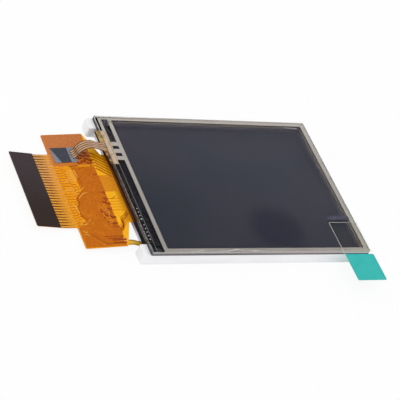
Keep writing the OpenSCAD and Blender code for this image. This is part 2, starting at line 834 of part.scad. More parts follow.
module protective_film() {
    film_inset = 0.1;
    color("whitesmoke", 0.3) slab(rounded(box_points(touch_left + film_inset, touch_right - film_inset,
        -touch_y + film_inset, touch_y - film_inset), touch_corner_r), panel_top_z, film_t);
}

module pull_tape() {
    color("white", 0.5) slab(rounded(box_points(tab_x, tab_x + tab_w, tab_front, tape_grip - touch_y),
        tab_corner_r), tape_z, tape_t);
}

module pull_tab() {
    color([0.23, 0.74, 0.7]) slab(rounded(box_points(tab_x, tab_x + tab_w, tab_front, tab_front + tab_l),
        tab_corner_r), tape_z + tape_t, tab_t);
}

backlight_frame();
reflector_sheet();
light_guide();
diffuser_sheet();
prism_sheet_lower();
prism_sheet_upper();
led_flex();
led(1);  // led_1
led(2);  // led_2
led(3);  // led_3
led(4);  // led_4
shading_tape();
rear_polariser();
array_glass();
colour_filter_glass();
front_polariser();
driver_chip();
main_flex();
flex_copper();
tail_contacts();
tail_stiffener();
chip_capacitor(1);  // chip_capacitor_1
chip_capacitor(2);  // chip_capacitor_2
chip_capacitor(3);  // chip_capacitor_3
chip_capacitor(4);  // chip_capacitor_4
chip_capacitor(5);  // chip_capacitor_5
chip_cover_tape();
ledge_foam();
panel_gasket();
touch_glass();
touch_spacer();
silver_print();
touch_film();
touch_tail();
touch_tail_conductors();
touch_tail_patch();
protective_film();
pull_tape();
pull_tab();
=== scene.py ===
import math

import bmesh
import bpy
from mathutils import Matrix, Vector


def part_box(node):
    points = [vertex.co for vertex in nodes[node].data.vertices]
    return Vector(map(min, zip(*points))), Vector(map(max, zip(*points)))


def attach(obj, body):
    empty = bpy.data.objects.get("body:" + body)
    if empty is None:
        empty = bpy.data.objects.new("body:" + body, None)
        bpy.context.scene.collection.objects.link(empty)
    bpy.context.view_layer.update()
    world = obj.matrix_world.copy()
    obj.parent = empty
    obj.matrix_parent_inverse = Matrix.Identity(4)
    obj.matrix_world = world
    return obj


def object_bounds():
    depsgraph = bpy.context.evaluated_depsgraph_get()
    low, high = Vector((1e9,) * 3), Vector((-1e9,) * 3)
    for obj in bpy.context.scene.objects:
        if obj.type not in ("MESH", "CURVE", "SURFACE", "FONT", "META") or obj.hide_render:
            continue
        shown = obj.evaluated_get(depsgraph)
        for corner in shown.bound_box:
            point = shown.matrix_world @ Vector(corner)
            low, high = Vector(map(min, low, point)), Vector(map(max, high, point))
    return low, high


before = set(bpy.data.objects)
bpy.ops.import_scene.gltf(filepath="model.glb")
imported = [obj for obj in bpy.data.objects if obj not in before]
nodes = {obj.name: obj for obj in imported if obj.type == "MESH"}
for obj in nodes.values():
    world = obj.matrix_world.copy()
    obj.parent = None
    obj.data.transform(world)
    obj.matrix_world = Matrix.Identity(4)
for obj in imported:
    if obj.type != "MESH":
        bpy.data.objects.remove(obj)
cad_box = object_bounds()
MM = 0.001


# ---- Backlight frame ----
# Injection moulded tray of satin white polycarbonate. Its walls carry the glass and its two
# ears stand out beside the flex. The edges are slightly rounded by the mould. A greyish painted
# shade covers the rim that the touch panel rests on and the wall beside the cell's ledge.

def shade(red, green, blue, alpha=1.0):
    """Colour as a designer writes it, 0 to 255, turned into light."""
    def light(c):
        c /= 255
        return c / 12.92 if c <= 0.04045 else ((c + 0.055) / 1.055) ** 2.4
    return (light(red), light(green), light(blue), alpha)


def node(tree, kind, sockets=(), **settings):
    """Adds a shader node: settings are its properties, sockets its inputs, each a value or an output."""
    made = tree.nodes.new("ShaderNode" + kind)
    for name, value in settings.items():
        setattr(made, name, value)
    for place, value in dict(sockets).items():
        if isinstance(value, bpy.types.NodeSocket):
            tree.links.new(value, made.inputs[place])
        else:
            made.inputs[place].default_value = value
    return made.outputs


def finish_named(name, roughness, **sockets):
    """A new material with one principled shader. Gives its tree, its shader and the place on the part."""
    made = bpy.data.materials.new(name)
    made.use_nodes = True
    tree = made.node_tree
    shader = tree.nodes["Principled BSDF"]
    shader.inputs["Roughness"].default_value = roughness
    for place, value in sockets.items():
        shader.inputs[place.replace("_", " ")].default_value = value
    return tree, shader, node(tree, "TexCoord")["Object"]


def axes(tree, place):
    """The place on the part as x, y and z, in metres."""
    return node(tree, "SeparateXYZ", {0: place})[0:3]


def cloud(tree, place, size, detail=3.0, stretch=(1, 1, 1)):
    """Soft random pattern whose patches are about size across, in metres."""
    spread = node(tree, "Mapping", {"Vector": place, "Scale": stretch})[0]
    return node(tree, "TexNoise", {"Vector": spread, "Scale": 1 / size, "Detail": detail})[0]


def ramp(tree, value, stops):
    """Colours along a value from 0 to 1."""
    made = tree.nodes.new("ShaderNodeValToRGB")
    for i, (at, colour) in enumerate(stops):
        stop = made.color_ramp.elements[i] if i < 2 else made.color_ramp.elements.new(at)
        stop.position = at
        stop.color = colour
    tree.links.new(value, made.inputs[0])
    return made.outputs[0]


def mottled(tree, pattern, first, second, low=0.3, high=0.7):
    """Two colours that follow a soft pattern."""
    return ramp(tree, pattern, [(low, first), (high, second)])


def uneven(tree, pattern, first, second):
    """Two levels, such as of roughness, that follow a soft pattern."""
    return mottled(tree, pattern, (first, first, first, 1), (second, second, second, 1))


def mixed(tree, share, first, second):
    """One colour laid over another by a share from 0 to 1."""
    return node(tree, "Mix", {0: share, 6: first, 7: second}, data_type="RGBA")[2]


def stepped(tree, value, start, end, low=0.0, high=1.0):
    """A value carried smoothly from low to high as it goes from start to end."""
    return node(tree, "MapRange", {0: value, 1: start, 2: end, 3: low, 4: high},
                interpolation_type="SMOOTHSTEP")[0]


def maths(tree, how, first, second=0.0):
    """Sum, product or other result of two values, as how says."""
    return node(tree, "Math", {0: first, 1: second}, operation=how)[0]


def every(tree, share, *others):
    """The share left where all the given shares hold."""
    for other in others:
        share = maths(tree, "MULTIPLY", share, other)
    return share


def relief(tree, shader, height, depth, strength=0.5):
    """Presses a pattern into the surface, depth in metres."""
    tree.links.new(node(tree, "Bump", {"Height": height, "Distance": depth, "Strength": strength})[0],
                   shader.inputs["Normal"])


def coloured(tree, shader, colour, roughness=None):
    """Joins a colour, and where there is one a roughness, to the shader."""
    tree.links.new(colour, shader.inputs["Base Color"])
    if roughness is not None:
        tree.links.new(roughness, shader.inputs["Roughness"])


def dress(tree, *names):
    """Gives a finish to nodes of the frame."""
    made = next(m for m in bpy.data.materials if m.node_tree == tree)
    for name in names:
        slots = nodes[name].data.materials
        slots.clear()
        slots.append(made)
    return made


def rounded_edges(name, radius):
    """Rounds the edges of a moulded node without moving it."""
    weld = nodes[name].modifiers.new("weld", "WELD")
    weld.merge_threshold = 1e-6
    edge = nodes[name].modifiers.new("edges", "BEVEL")
    edge.width = radius
    edge.segments = 2
    edge.limit_method = "ANGLE"
    edge.angle_limit = math.radians(50)


tree, shader, place = finish_named("satin_white", 0.45, Specular_IOR_Level=0.3)
grain = cloud(tree, place, 0.25 * MM, 4)
flow = cloud(tree, place, 9 * MM, 2, (1, 3, 3))
white = mottled(tree, flow, shade(247, 247, 250), shade(253, 253, 254))
x, y, z = axes(tree, place)
off_middle = maths(tree, "ABSOLUTE", y)
panel_low, panel_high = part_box("touch_glass")
window_left = -24.4 * MM
beside_window = stepped(tree, x, window_left - 0.2 * MM, window_left + 0.2 * MM)
# Painted shade: grey on the rim under the panel and on the wall beside the cell's ledge stands in for the
# shade there.
painted_rim_shade = mixed(tree, beside_window, shade(142, 140, 147), shade(166, 157, 150))
rim_shade_in = 0.25 * MM
rim_shade_fade = 0.1 * MM
under_panel = every(
    tree,
    stepped(tree, x, panel_high.x - rim_shade_in - rim_shade_fade, panel_high.x - rim_shade_in, 1.0, 0.0),
    stepped(tree, off_middle, panel_high.y - rim_shade_in - rim_shade_fade, panel_high.y - rim_shade_in, 1.0, 0.0),
    stepped(tree, x, panel_low.x + rim_shade_in, panel_low.x + rim_shade_in + rim_shade_fade))
rim_z = panel_low.z - 0.5 * MM
on_rim = stepped(tree, z, rim_z, rim_z + 0.05 * MM)
ledge_wall_y = 20.15 * MM
ledge_wall_z = 0.8 * MM
by_ledge = every(tree, stepped(tree, beside_window, 0.0, 1.0, 1.0, 0.0),
                 stepped(tree, off_middle, ledge_wall_y, ledge_wall_y + 0.05 * MM),
                 stepped(tree, z, ledge_wall_z, ledge_wall_z + 0.05 * MM))
shaded_rim = every(tree, under_panel, maths(tree, "MAXIMUM", on_rim, by_ledge))
coloured(tree, shader, mixed(tree, shaded_rim, white, painted_rim_shade), uneven(tree, grain, 0.38, 0.5))
relief(tree, shader, grain, 0.01 * MM)
dress(tree, "backlight_frame")
rounded_edges("backlight_frame", 0.07 * MM)


# ---- Backlight stack ----
# Silvery reflector under a clear acrylic guide, then a frosted diffuser and two prism sheets.
# All are cut sheets laid loose in the frame.

tree, shader, place = finish_named("silver_reflector", 0.22, Metallic=0.6)
brushed = cloud(tree, place, 0.5 * MM, 3, (1, 12, 1))
coloured(tree, shader, mottled(tree, brushed, shade(222, 224, 230), shade(242, 243, 247)))
relief(tree, shader, brushed, 0.004 * MM)
dress(tree, "reflector_sheet")

tree, shader, place = finish_named("clear_acrylic", 0.08, Transmission_Weight=0.6, IOR=1.49)
haze = cloud(tree, place, 1.2 * MM)
coloured(tree, shader, mottled(tree, haze, shade(225, 236, 240), shade(240, 246, 248)),
         uneven(tree, haze, 0.05, 0.16))
dress(tree, "light_guide")

tree, shader, place = finish_named("frosted_film", 0.45, Sheen_Weight=0.1)
frost = cloud(tree, place, 0.12 * MM, 5)
coloured(tree, shader, mottled(tree, frost, shade(226, 229, 231), shade(243, 245, 246), 0.35, 0.65))
relief(tree, shader, frost, 0.006 * MM)
dress(tree, "diffuser_sheet")

tree, shader, place = finish_named("prism_film", 0.2, Specular_IOR_Level=0.7)
prism_pitch = 0.06 * MM
grooves = node(tree, "TexWave", {"Vector": place, "Scale": 0.32 / prism_pitch, "Distortion": 0.1},
               wave_type="BANDS", bands_direction="X")[1]
coloured(tree, shader, mottled(tree, grooves, shade(205, 214, 219), shade(238, 243, 246), 0.0, 1.0))
relief(tree, shader, grooves, 0.01 * MM)
dress(tree, "prism_sheet_lower", "prism_sheet_upper")


# ---- Lamps and lamp flex ----
# Four side-shining white lamps under a thin amber flex. Its narrow tail climbs out through the
# frame's low wall and is soldered under the main flex.

def facing(tree):
    """The direction that a surface faces, as x, y and z."""
    return node(tree, "SeparateXYZ", {0: node(tree, "NewGeometry")["Normal"]})[0:3]


def apart(tree, value, middle):
    """How far a value lies from a middle, on either side."""
    return maths(tree, "ABSOLUTE", maths(tree, "SUBTRACT", value, middle))


tree, shader, place = finish_named("lamp_body", 0.35, Subsurface_Weight=0.05)
to_guide = facing(tree)[0]
mottle = cloud(tree, place, 0.15 * MM)
body = mottled(tree, mottle, shade(236, 234, 226), shade(248, 247, 242))
yellow_phosphor = shade(240, 208, 70)
coloured(tree, shader, mixed(tree, stepped(tree, to_guide, 0.6, 0.9), body, yellow_phosphor))
relief(tree, shader, mottle, 0.008 * MM)
dress(tree, "led_1", "led_2", "led_3", "led_4")

tree, shader, place = finish_named("lamp_flex_film", 0.3, Specular_IOR_Level=0.2)
y = axes(tree, place)[1]
weave = cloud(tree, place, 0.35 * MM, 3, (1, 4, 1))
front_line = stepped(tree, apart(tree, y, -16.72 * MM), 0.05 * MM, 0.1 * MM)
back_line = stepped(tree, apart(tree, y, -15.62 * MM), 0.05 * MM, 0.12 * MM)
film = mottled(tree, weave, shade(214, 158, 32), shade(240, 196, 84))
coloured(tree, shader, mixed(tree, every(tree, back_line, front_line), shade(96, 60, 14), film))
relief(tree, shader, weave, 0.006 * MM)
dress(tree, "led_flex")


# ---- Liquid crystal cell ----
# Two sheets of glass with a dark polariser on each side. The longer sheet's bare ledge holds the driver chip
# and is painted paler towards the back corner as painted light for the shade under the panel; a black tape
# ring masks the edge of the light.

tree, shader, place = finish_named("cell_glass", 0.06, Transmission_Weight=0.1, IOR=1.52,
                                   Specular_IOR_Level=0.2)
x, y, _ = axes(tree, place)
bands = cloud(tree, place, 3 * MM, 2, (0.2, 1, 6))
ledge_right = -24 * MM
paler_y = 10 * MM
# Painted light: the ledge is paler towards the back corner, making up for the shade under the panel.
lit_ledge_corner = every(tree, stepped(tree, x, ledge_right - 0.5 * MM, ledge_right, 1.0, 0.0),
                     stepped(tree, y, paler_y, paler_y + 6 * MM))
coloured(tree, shader, mixed(tree, lit_ledge_corner,
                             mottled(tree, bands, shade(34, 38, 42), shade(60, 66, 70)),
                             mottled(tree, bands, shade(94, 93, 99), shade(108, 107, 113))))
dress(tree, "array_glass", "colour_filter_glass")

# The polariser is a little lighter and warmer away from the flex. It is painted lighter by its free end and
# back edge, painted light for the border's shade, and carries a soft darker patch that is a painted
# reflection.

tree, shader, place = finish_named("dark_polariser", 0.3, Specular_IOR_Level=0.05)
x, y, _ = axes(tree, place)
drift = cloud(tree, place, 30 * MM, 1)
cool = mottled(tree, drift, shade(47, 51, 60), shade(55, 55, 65), 0.35, 0.65)
warm = mottled(tree, drift, shade(61, 63, 73), shade(68, 66, 76), 0.35, 0.65)
across = maths(tree, "ADD", maths(tree, "MULTIPLY", x, 0.5), y)
screen = mixed(tree, stepped(tree, across, -22 * MM, 24 * MM), cool, warm)
screen_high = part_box("front_polariser")[1]
edge_width = 1.2 * MM
# Painted light: lighter towards the free end and back edge, where the border shades the screen.
painted_light_edge = maths(tree, "MAXIMUM", stepped(tree, x, screen_high.x - edge_width, screen_high.x),
                  stepped(tree, y, screen_high.y - edge_width, screen_high.y))
screen = mixed(tree, painted_light_edge, screen, shade(92, 90, 99))
# Painted reflection: a soft darker bluish patch, the reflection of something dark.
reflection_middle = (8 * MM, -13 * MM, 0)
from_reflection = node(tree, "VectorMath", {0: place, 1: reflection_middle}, operation="DISTANCE")["Value"]
wander = maths(tree, "MULTIPLY", cloud(tree, place, 7 * MM, 2), 4 * MM)
reflection_radius = 7 * MM
dark_reflection = stepped(tree, maths(tree, "ADD", from_reflection, wander), reflection_radius, reflection_radius + 5 * MM, 0.55, 0.0)
coloured(tree, shader, mixed(tree, dark_reflection, screen, shade(26, 30, 46)))
dress(tree, "front_polariser", "rear_polariser")

tree, shader, place = finish_named("polished_silicon", 0.12, Metallic=0.4)
crystal = cloud(tree, place, 0.4 * MM, 2)
coloured(tree, shader, mottled(tree, crystal, shade(50, 50, 56), shade(74, 74, 84)))
dress(tree, "driver_chip")

tree, shader, place = finish_named("black_film_tape", 0.4, Specular_IOR_Level=0.1)
crease = cloud(tree, place, 1.4 * MM, 4, (1, 0.4, 1))
coloured(tree, shader, mottled(tree, crease, shade(16, 16, 19), shade(28, 28, 32)),
         uneven(tree, crease, 0.28, 0.45))
relief(tree, shader, crease, 0.02 * MM)
dress(tree, "shading_tape")

# The tape over the chip is painted amber brown where it lies on the flex's neck, a painted shade of the
# flex beside the panel, and its woven face turns grey towards the back.

tree, shader, place = finish_named("black_cover_tape", 0.4, Specular_IOR_Level=0.05)
x, y, _ = axes(tree, place)
tape_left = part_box("chip_cover_tape")[0].x
crease = cloud(tree, place, 1.4 * MM, 4, (1, 0.4, 1))
weave = cloud(tree, place, 0.35 * MM, 3)
grey_from_y = 9 * MM
black = mixed(tree, stepped(tree, y, grey_from_y, grey_from_y + 2 * MM),
              mottled(tree, weave, shade(38, 38, 44), shade(52, 52, 59), 0.35, 0.65),
              mottled(tree, weave, shade(48, 47, 53), shade(86, 85, 91), 0.35, 0.65))
# Painted shade: the amber brown of the flex in shade beside the panel, laid on the tape's left end.
painted_flex_shade = mottled(tree, crease, shade(112, 58, 8), shade(136, 74, 14))
neck_half = 10.3 * MM
on_neck = every(tree,
                stepped(tree, maths(tree, "ABSOLUTE", y), neck_half, neck_half + 0.2 * MM, 1.0, 0.0),
                stepped(tree, x, tape_left, tape_left + 1.1 * MM, 1.0, 0.0))
coloured(tree, shader, mixed(tree, on_neck, black, painted_flex_shade))
relief(tree, shader, crease, 0.02 * MM)
dress(tree, "chip_cover_tape")

# Two foams seal the gap round the cell: black on the ledge, painted greyer at the back corner as painted
# light for the shade under the panel, and slate under the panel's border.

foam_cell = 0.16 * MM

tree, shader, place = finish_named("black_foam", 0.85, Specular_IOR_Level=0.2)
cells = node(tree, "TexVoronoi", {"Vector": place, "Scale": 1 / foam_cell})[0]
y = axes(tree, place)[1]
# Painted light: the foam's back end is greyer to make up for the shade under the panel.
lit_foam_y = 15.6 * MM
coloured(tree, shader, mixed(tree, stepped(tree, y, lit_foam_y, lit_foam_y + 1.2 * MM),
                             mottled(tree, cells, shade(12, 12, 13), shade(34, 34, 36), 0.0, 0.7),
                             mottled(tree, cells, shade(56, 55, 60), shade(74, 73, 78), 0.0, 0.7)))
relief(tree, shader, cells, 0.03 * MM, 0.8)
dress(tree, "ledge_foam")

tree, shader, place = finish_named("slate_foam", 0.8, Specular_IOR_Level=0.1)
cells = node(tree, "TexVoronoi", {"Vector": place, "Scale": 1 / foam_cell})[0]
coloured(tree, shader, mottled(tree, cells, shade(96, 93, 100), shade(116, 112, 118), 0.0, 0.7))
relief(tree, shader, cells, 0.02 * MM)
dress(tree, "panel_gasket")


# ---- Main flex ----
# Amber polyimide film, glossy on both faces. It is golden where it is bare, paler on the neck,
# and dark between the conductors of its tail, where the cover film lies deep.

BROAD_LEFT = -42.2 * MM
BROAD_RIGHT = -32.1 * MM

tree, shader, place = finish_named("amber_film", 0.35, Specular_IOR_Level=0.06)
x, y, _ = axes(tree, place)
mottle = cloud(tree, place, 0.55 * MM, 4)
streaks = cloud(tree, place, 0.5 * MM, 3, (1, 0.35, 1))
gold = mottled(tree, mottle, shade(224, 138, 8), shade(246, 164, 22))
neck = mottled(tree, streaks, shade(250, 172, 15), shade(255, 188, 36))
ground = mottled(tree, mottle, shade(198, 110, 34), shade(212, 126, 48))
dark_gap = mottled(tree, mottle, shade(84, 40, 4), shade(108, 56, 12))
dark_x = -45 * MM
gap = mixed(tree, stepped(tree, x, dark_x, BROAD_LEFT - 0.2 * MM), dark_gap, gold)
top = mixed(tree, stepped(tree, x, BROAD_RIGHT - 0.15 * MM, BROAD_RIGHT), gold, neck)
# Painted shade: the film turns browner beside the panel's edge.
panel_shade_x = -30.3 * MM
painted_panel_shade = stepped(tree, x, panel_shade_x, panel_shade_x + 1.5 * MM, 0.0, 0.65)
top = mixed(tree, painted_panel_shade, top, mottled(tree, mottle, shade(154, 92, 10), shade(180, 112, 20)))
ground_y = 7.3 * MM
on_ground = every(tree, stepped(tree, y, ground_y, ground_y + 0.3 * MM),
                  stepped(tree, x, BROAD_RIGHT - 0.1 * MM, BROAD_RIGHT, 1.0, 0.0))
top = mixed(tree, on_ground, top, ground)
top = mixed(tree, stepped(tree, x, BROAD_LEFT - 0.6 * MM, BROAD_LEFT, 1.0, 0.0), top, gap)
under = mottled(tree, mottle, shade(208, 132, 20), shade(232, 156, 36))
film = mixed(tree, stepped(tree, facing(tree)[2], 0.2, 0.6), under, top)
tail_end = cad_box[0].x
cut_end = stepped(tree, x, tail_end + 0.02 * MM, tail_end + 0.06 * MM, 1.0, 0.0)
coloured(tree, shader, mixed(tree, cut_end, film, shade(112, 104, 104)), uneven(tree, mottle, 0.16, 0.3))
relief(tree, shader, mottle, 0.012 * MM)
dress(tree, "main_flex")

# Etched copper under the clear cover film: light conductors along the tail, dark amber ground
# areas on the broad part, rosy behind the patch, and thin darker lines on the neck.

tree, shader, place = finish_named("covered_copper", 0.35, Specular_IOR_Level=0.06)
x, y, _ = axes(tree, place)
mottle = cloud(tree, place, 0.4 * MM, 4)
back_tail = mottled(tree, mottle, shade(206, 142, 76), shade(232, 174, 104))
front_tail = mottled(tree, mottle, shade(210, 136, 38), shade(238, 170, 62))
tail = mixed(tree, stepped(tree, y, -6 * MM, 8 * MM), front_tail, back_tail)
ground = mottled(tree, mottle, shade(186, 94, 6), shade(202, 112, 16))
patches = stepped(tree, cloud(tree, place, 1.7 * MM, 4), 0.5, 0.7, 0.0, 0.4)
ground = mixed(tree, patches, ground, shade(216, 130, 18))
rosy = mottled(tree, mottle, shade(186, 108, 54), shade(202, 126, 74))
ground = mixed(tree, stepped(tree, y, ground_y - 0.4 * MM, ground_y), ground, rosy)
lines = mottled(tree, mottle, shade(213, 129, 13), shade(227, 146, 27))
copper = mixed(tree, stepped(tree, x, BROAD_LEFT - 0.1 * MM, BROAD_LEFT + 0.5 * MM), tail, ground)
copper = mixed(tree, stepped(tree, x, BROAD_RIGHT - 0.1 * MM, BROAD_RIGHT), copper, lines)
coloured(tree, shader, copper, uneven(tree, mottle, 0.2, 0.34))
relief(tree, shader, mottle, 0.01 * MM)
dress(tree, "flex_copper")
copper_finish = tree

# Fine artwork of the flex: narrow links that join the ground areas, pale traces that fan out over
# the bare gold, dark ones beside the ground, and the short dark hatch across its front end. All are
# etched strips.

def laid(name, tree, lines, surface, lift=0.012 * MM):
    """Thin strips along lines of (x, y, width) in millimetres, laid on nodes of the frame."""
    def resting(x, y):
        hits = [nodes[n].ray_cast((x, y, 0.01), (0, 0, -1)) for n in surface]
        return max(hit[1].z for hit in hits if hit[0]) + lift

    longest = 0.45
    build = bmesh.new()
    for line in lines:
        fine = [Vector(line[0])]
        for start, end in zip(line, line[1:]):
            steps = max(1, math.ceil(math.dist(start[:2], end[:2]) / longest))
            fine += [Vector(start).lerp(Vector(end), i / steps) for i in range(1, steps + 1)]
        rails = []
        for i, point in enumerate(fine):
            before = (point - fine[max(i - 1, 0)]).to_2d().normalized()
            after = (fine[min(i + 1, len(fine) - 1)] - point).to_2d().normalized()
            out = (before + after).normalized().orthogonal() * point.z / 2
            sides = [((point.x + s * out.x) * MM, (point.y + s * out.y) * MM) for s in (1, -1)]
            rails.append([build.verts.new((x, y, resting(x, y))) for x, y in sides])
        for first, second in zip(rails, rails[1:]):
            build.faces.new((first[0], first[1], second[1], second[0]))
    return finished(name, build, tree, 0.008 * MM)


def finished(name, build, tree, thick=0.0):
    """Makes a piece from a mesh being built, gives it its finish and lets it ride on the part."""
    bmesh.ops.recalc_face_normals(build, faces=build.faces)
    mesh = bpy.data.meshes.new(name)
    build.to_mesh(mesh)
    build.free()
    piece = bpy.data.objects.new(name, mesh)
    bpy.context.scene.collection.objects.link(piece)
    mesh.materials.append(next(m for m in bpy.data.materials if m.node_tree == tree))
    if thick:
        solid = piece.modifiers.new("thickness", "SOLIDIFY")
        solid.thickness = thick
        solid.offset = 0
    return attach(piece, "root")


def bent(width, *points):
    """A line of even width through points in plan."""
    return [(x, y, width) for x, y in points]


FLEX_TOP = ("main_flex", "flex_copper")
LOW_LIFT = 0.006 * MM

ground_links = [[(-39.0, -11.43, 0.34), (-32.4, -11.43, 0.34)],
                [(-41.9, -11.5, 0.4), (-40.6, -10.9, 1.2), (-39.5, -10.4, 2.2), (-38.2, -9.6, 2.6)]]
laid("ground_links", copper_finish, ground_links, FLEX_TOP, LOW_LIFT)

tree, shader, place = finish_named("pale_trace", 0.35, Specular_IOR_Level=0.1)
mottle = cloud(tree, place, 0.5 * MM, 3)
coloured(tree, shader, mottled(tree, mottle, shade(240, 160, 36), shade(255, 196, 84)))
relief(tree, shader, mottle, 0.006 * MM)
pale = [bent(0.13, (-40.9 + 0.37 * i, 2.3 + 0.1 * (i % 2)), (-39.6 + 0.37 * i, 3.9), (-39.3 + 0.3 * i, 6.1))
        for i in range(7)]
pale += [bent(0.14, (-41.6 + 0.2 * i, -3.4 - 0.35 * i), (-40.9 + 0.2 * i, -4.6 - 0.3 * i),
              (-40.6 + 0.12 * i, -6.2 - 0.4 * i)) for i in range(4)]
pale += [bent(0.1, (-40.3, -8.8), (-39.7, -9.9), (-39.1, -10.3)),
         bent(0.1, (-41.2, -11.2), (-39.6, -10.1), (-38.3, -8.9)),
         bent(0.14, (-39.9, -1.4), (-38.7, -0.3), (-37.8, -0.15), (-36.9, 0.6)),
         bent(0.14, (-39.1, -2.6), (-37.7, -1.2), (-36.6, -1.0)),
         bent(0.12, (-41.9, -9.2), (-41.2, -9.0), (-40.5, -9.9), (-40.0, -9.5)),
         bent(0.12, (-41.3, -10.5), (-40.6, -10.3), (-39.9, -10.5), (-39.2, -9.7)),
         bent(0.12, (-41.4, -12.4), (-41.0, -12.1), (-40.7, -12.9), (-40.3, -12.5)),
         bent(0.1, (-41.3, -13.5), (-40.7, -13.2), (-40.1, -13.6)),
         bent(0.06, (-34.9, -5.2), (-34.3, -6.6), (-34.9, -7.7), (-34.3, -9.3)),
         bent(0.06, (-33.7, -5.9), (-33.3, -7.4), (-33.8, -8.8), (-33.4, -10.4))]
pale += [bent(0.12, (-41.9 + 0.5 * i, -0.6 - 0.2 * i), (-41.0 + 0.5 * i, 0.5 - 0.2 * i),
              (-40.2 + 0.5 * i, 0.6)) for i in range(4)]
laid("pale_traces", tree, pale, FLEX_TOP)

tree, shader, place = finish_named("dark_trace", 0.35, Specular_IOR_Level=0.08)
mottle = cloud(tree, place, 0.5 * MM, 3)
coloured(tree, shader, mottled(tree, mottle, shade(132, 50, 2), shade(168, 78, 12)))
relief(tree, shader, mottle, 0.006 * MM)
hatch = [bent(0.16, (-40 + 0.34 * i, -13.6 - 0.34 * i), (-39.5 + 0.34 * i, -13.1 - 0.34 * i))
         for i in range(9)]
lamp_feeds = [bent(0.2, (-36.8, -14.2), (-32.3, -14.3)),
              bent(0.22, (-36.2, -14.9), (-33.5, -14.85), (-32.6, -14.6)),
              bent(0.5, (-35.2, -15.3), (-31.9, -15.3)),
              bent(0.14, (-37.2, -16.25), (-35.3, -16.3)),
              bent(0.5, (-35.3, -16.2), (-32.1, -16.2))]
ground_edge = [bent(0.16, (-37.6, -0.4), (-39.4, -2.3), (-39.5, -4.3), (-40.2, -5.2), (-40.25, -8.0),
                    (-39.1, -9.1)),
               bent(0.12, (-37.9, 7.4), (-37.9, 4.2), (-37.1, 3.4), (-37.1, 0.8)),
               bent(0.32, (-38.4, 7.2), (-36.2, 7.3))]
laid("dark_traces", tree, hatch + lamp_feeds + ground_edge, FLEX_TOP)

tree, shader, place = finish_named("neck_trace", 0.4, Specular_IOR_Level=0.0)
mottle = cloud(tree, place, 0.5 * MM, 3)
coloured(tree, shader, mottled(tree, mottle, shade(118, 52, 0), shade(146, 74, 4)))
relief(tree, shader, mottle, 0.006 * MM)
under_x = -28.85
climbs = [bent(0.2, (-32.1, 11.2 - i), (-31.6, 11.0 - i), (under_x, 8.35 - i)) for i in range(6)]
crosses = [bent(0.13, (-32, -3.2), (-31.1, -3.15), (-30.2, -2.4))]
sweeps = [bent(0.15, (under_x, -6.9 - 0.45 * i), (-29.7, -7.9 - 0.45 * i),
               (-31.1 + 0.12 * i, -8.9 - 0.45 * i), (-31.3 + 0.2 * i, -9.8 - 0.35 * i),
               (-31.2, -10.8 - 0.35 * i), (-31.5, -11.6 - 0.35 * i), (-32.3, -12.2 - 0.35 * i))
          for i in range(3)]
laid("neck_traces", tree, climbs + crosses + sweeps, FLEX_TOP)


# ---- Solder joints on the flex ----
# Small reddish brown pads where the parts below are soldered, in columns near the neck and in two
# loose rows beside the patch, each with flux spread round it under the cover film, and two tinned
# ends where the lamp tail is joined.

def pads(name, tree, places, height):
    """Low pads with rounded edges at (x, y, length, width) in millimetres."""
    build = bmesh.new()
    for x, y, length, width in places:
        top = max(nodes[n].ray_cast((x * MM, y * MM, 0.01), (0, 0, -1))[1].z for n in FLEX_TOP)
        size = Matrix.Diagonal((length * MM, width * MM, height * MM, 1))
        bmesh.ops.create_cube(build, size=1, matrix=Matrix.Translation((x * MM, y * MM, top)) @ size)
    bmesh.ops.bevel(build, geom=build.edges[:], offset=0.03 * MM, segments=2, affect="EDGES", profile=0.5)
    return finished(name, build, tree)


tree, shader, place = finish_named("covered_solder", 0.3, Specular_IOR_Level=0.15)
spots = cloud(tree, place, 0.18 * MM, 4)
coloured(tree, shader, mottled(tree, spots, shade(128, 50, 4), shade(172, 82, 14)))
relief(tree, shader, spots, 0.01 * MM)
column = [(-34.9 + 0.5 * (i % 2), -6.3 - 1.25 * i, 0.5, 0.42) for i in range(4)]
column += [(-32.9, -4.8 - 0.8 * i, 0.5, 0.36) for i in range(6)]
column += [(-33.6 + 0.65 * i, -10.5 - 0.6 * j, 0.4, 0.36) for i in range(2) for j in range(3)]
loose = [(-35.2 + 0.55 * i, 10.4 - 0.8 * i, 0.42, 0.36) for i in range(5)]
loose += [(-33.9 + 0.5 * i, 9.9 - 0.55 * i, 0.4, 0.34) for i in range(4)]
loose += [(-36.1, 6.2, 0.4, 0.4), (-32.6, -0.9, 0.34, 0.34), (-32.6, -1.7, 0.34, 0.34),
          (-32.7, -2.7, 0.4, 0.32), (-32.8, -3.5, 0.4, 0.32), (-33.7, -4.1, 0.36, 0.32)]
pads("covered_pads", tree, column + loose, 0.05)

tree, shader, place = finish_named("flux_stain", 0.35, Specular_IOR_Level=0.08)
spots = cloud(tree, place, 0.45 * MM, 4)
coloured(tree, shader, ramp(tree, spots, [(0.35, shade(118, 38, 2)), (0.55, shade(166, 72, 10)),
                                          (0.7, shade(204, 110, 26))]))
relief(tree, shader, spots, 0.01 * MM)
by_neck = [(-32.95, -1.3), (-32.9, -3.1), (-33.5, -4.0), (-32.75, -4.6), (-34.8, -6.9), (-33.0, -6.3),
           (-33.9, -8.2), (-32.8, -8.7), (-33.1, -10.5), (-32.9, -11.4)]
by_patch = [(-33.4, 11.1), (-34.2, 10.3), (-32.9, 10.2), (-35.1, 9.5), (-33.5, 9.2), (-32.6, 8.8),
            (-34.4, 8.5), (-35.5, 8.1), (-33.2, 8.0), (-33.0, 4.4)]
stains = [[(x - 0.62, y + 0.16, 0.18), (x - 0.2, y + 0.04, 0.74), (x + 0.2, y - 0.08, 0.5),
           (x + 0.55, y + 0.05, 0.66), (x + 0.66, y, 0.2)] for x, y in by_neck + by_patch]
laid("flux_stains", tree, stains, FLEX_TOP, LOW_LIFT)

